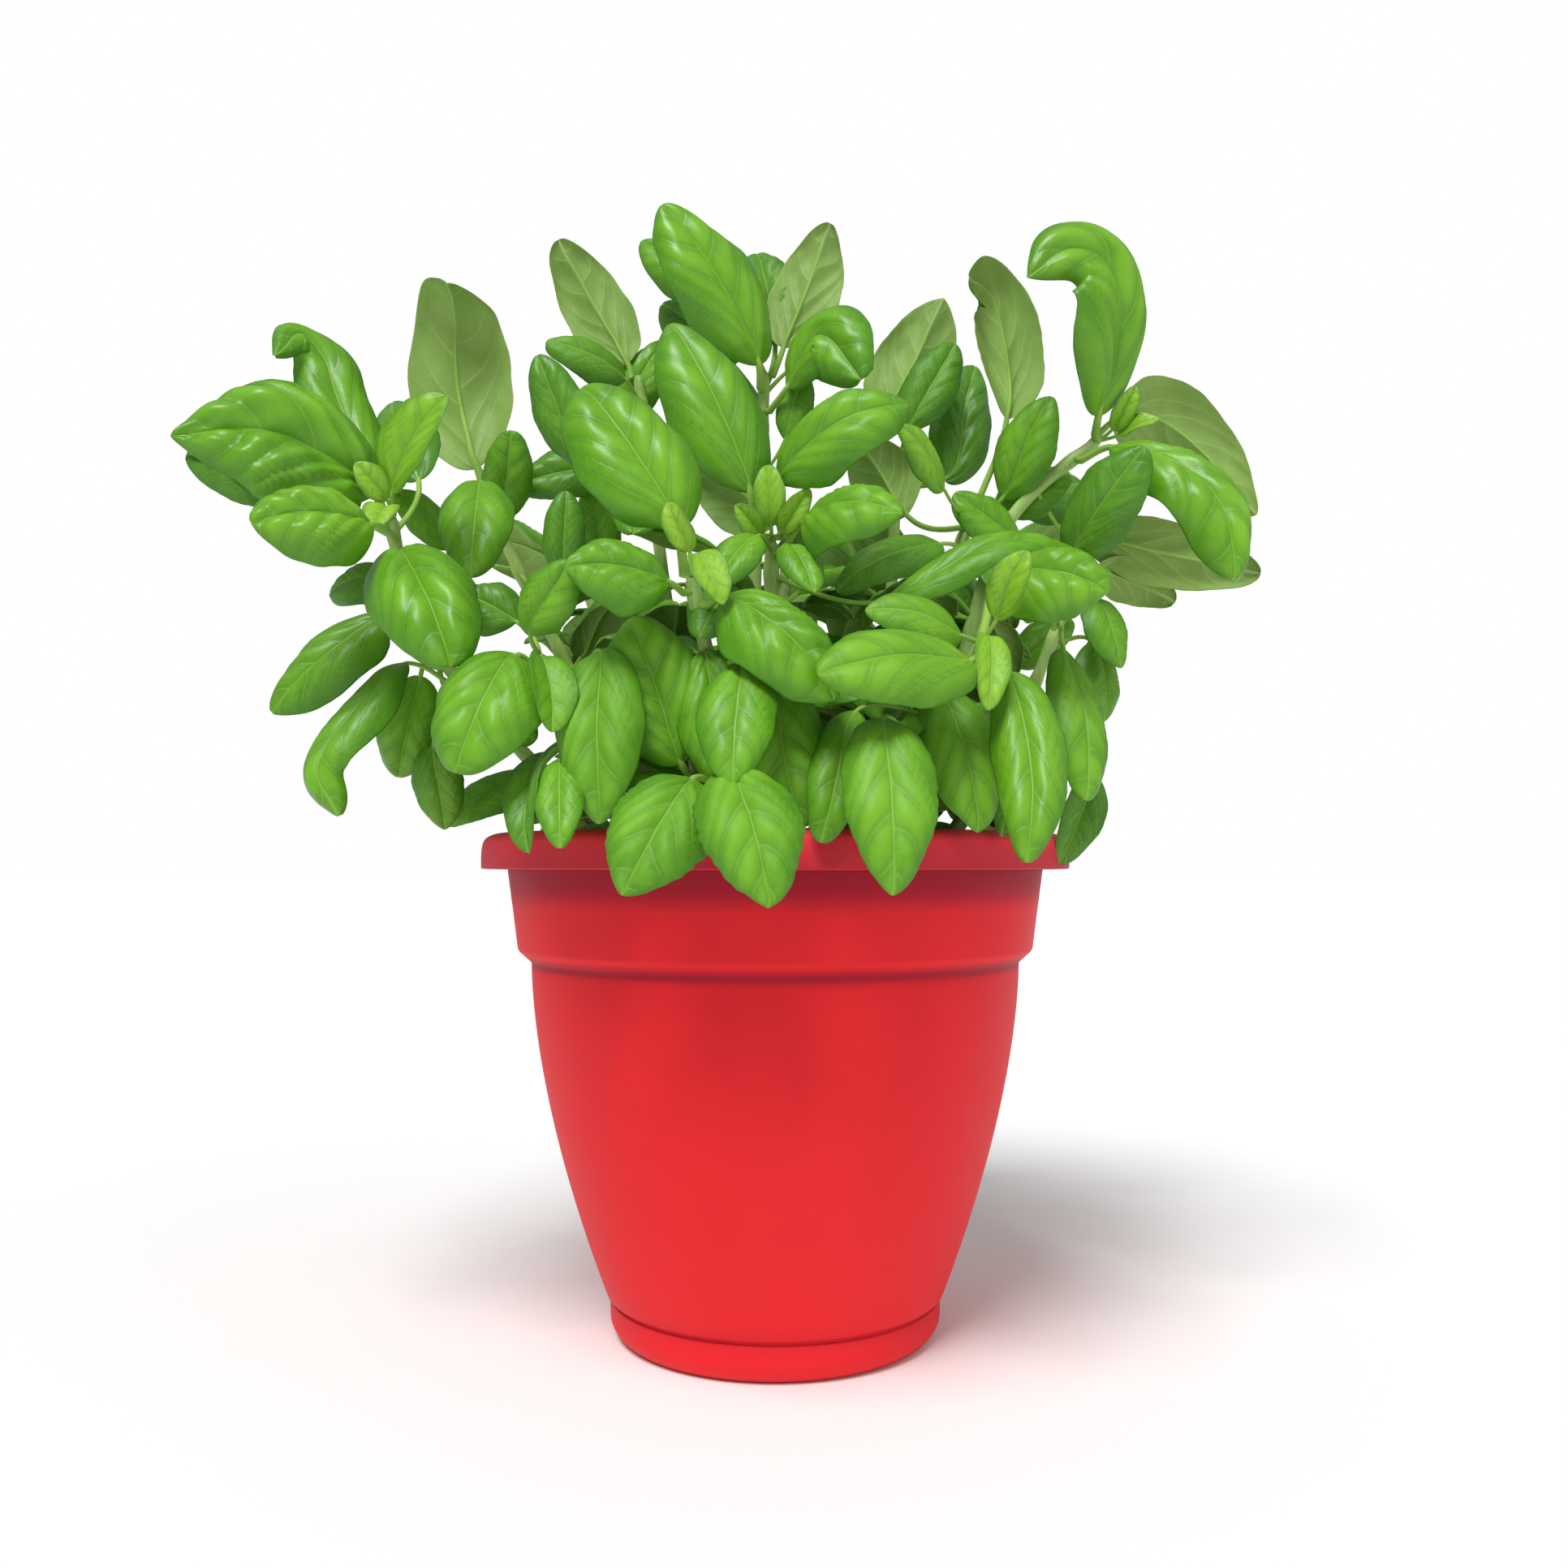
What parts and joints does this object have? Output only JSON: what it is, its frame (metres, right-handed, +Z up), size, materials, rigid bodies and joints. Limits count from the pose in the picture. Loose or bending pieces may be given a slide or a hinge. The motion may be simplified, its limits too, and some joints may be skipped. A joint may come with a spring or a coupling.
{
  "type": "potted basil plant",
  "caption": "Bushy basil plant with broad oval leaves on green stems that stand in soil, in a round red plastic pot with a rolled lip and a foot.",
  "frame": {"origin": "centre of the pot's underside, on the surface that the pot stands on", "axes": "+Z up along the pot's axis, -Y towards the plant's fullest side (its front), +X to the right of someone who looks at the front"},
  "size_m": [0.364, 0.272, 0.396],
  "materials": {
    "pot_plastic": "injection-moulded red plastic, satin, with the faint marks of moulding",
    "potting_soil": "dark, crumbly potting soil with bits of bark and white perlite",
    "green_stem": "pale green, smooth, slightly squared stem",
    "basil_leaf": "fresh green leaf, softly glossy and puckered above, paler and matte with raised veins below"
  },
  "bodies": {
    "root": {"pot": "pot_plastic", "soil": "potting_soil", "stem_left": "green_stem", "stem_left_back": "green_stem", "stem_front_left": "green_stem", "stem_centre_left": "green_stem", "stem_centre": "green_stem", "stem_top": "green_stem", "stem_top_left": "green_stem", "stem_right_mid": "green_stem", "stem_right_back": "green_stem", "stem_right_top": "green_stem", "stem_front_right": "green_stem", "stem_right": "green_stem", "stem_back_left": "green_stem", "stem_back_centre": "green_stem", "stem_back_right": "green_stem", "leaf_left_1": "basil_leaf", "leaf_left_2": "basil_leaf", "leaf_left_3": "basil_leaf", "leaf_left_4": "basil_leaf", "leaf_left_5": "basil_leaf", "leaf_left_6": "basil_leaf", "leaf_left_7": "basil_leaf", "leaf_left_back_1": "basil_leaf", "leaf_left_back_2": "basil_leaf", "leaf_front_left_1": "basil_leaf", "leaf_front_left_2": "basil_leaf", "leaf_centre_left_1": "basil_leaf", "leaf_centre_left_2": "basil_leaf", "leaf_centre_left_3": "basil_leaf", "leaf_centre_left_4": "basil_leaf", "leaf_centre_left_5": "basil_leaf", "leaf_centre_left_6": "basil_leaf", "leaf_centre_1": "basil_leaf", "leaf_centre_2": "basil_leaf", "leaf_centre_3": "basil_leaf", "leaf_top_1": "basil_leaf", "leaf_top_2": "basil_leaf", "leaf_top_3": "basil_leaf", "leaf_top_left_1": "basil_leaf", "leaf_right_mid_1": "basil_leaf", "leaf_right_back_1": "basil_leaf", "leaf_right_top_1": "basil_leaf", "leaf_right_top_2": "basil_leaf", "leaf_right_top_3": "basil_leaf", "leaf_front_right_1": "basil_leaf", "leaf_front_right_2": "basil_leaf", "leaf_front_right_3": "basil_leaf", "leaf_front_right_4": "basil_leaf", "leaf_front_right_5": "basil_leaf", "leaf_right_1": "basil_leaf", "leaf_right_2": "basil_leaf", "leaf_back_left_1": "basil_leaf", "leaf_back_left_2": "basil_leaf", "leaf_back_centre_1": "basil_leaf", "leaf_back_centre_2": "basil_leaf", "leaf_back_centre_3": "basil_leaf", "leaf_back_right_1": "basil_leaf", "leaf_back_right_2": "basil_leaf"}
  },
  "joints": []
}
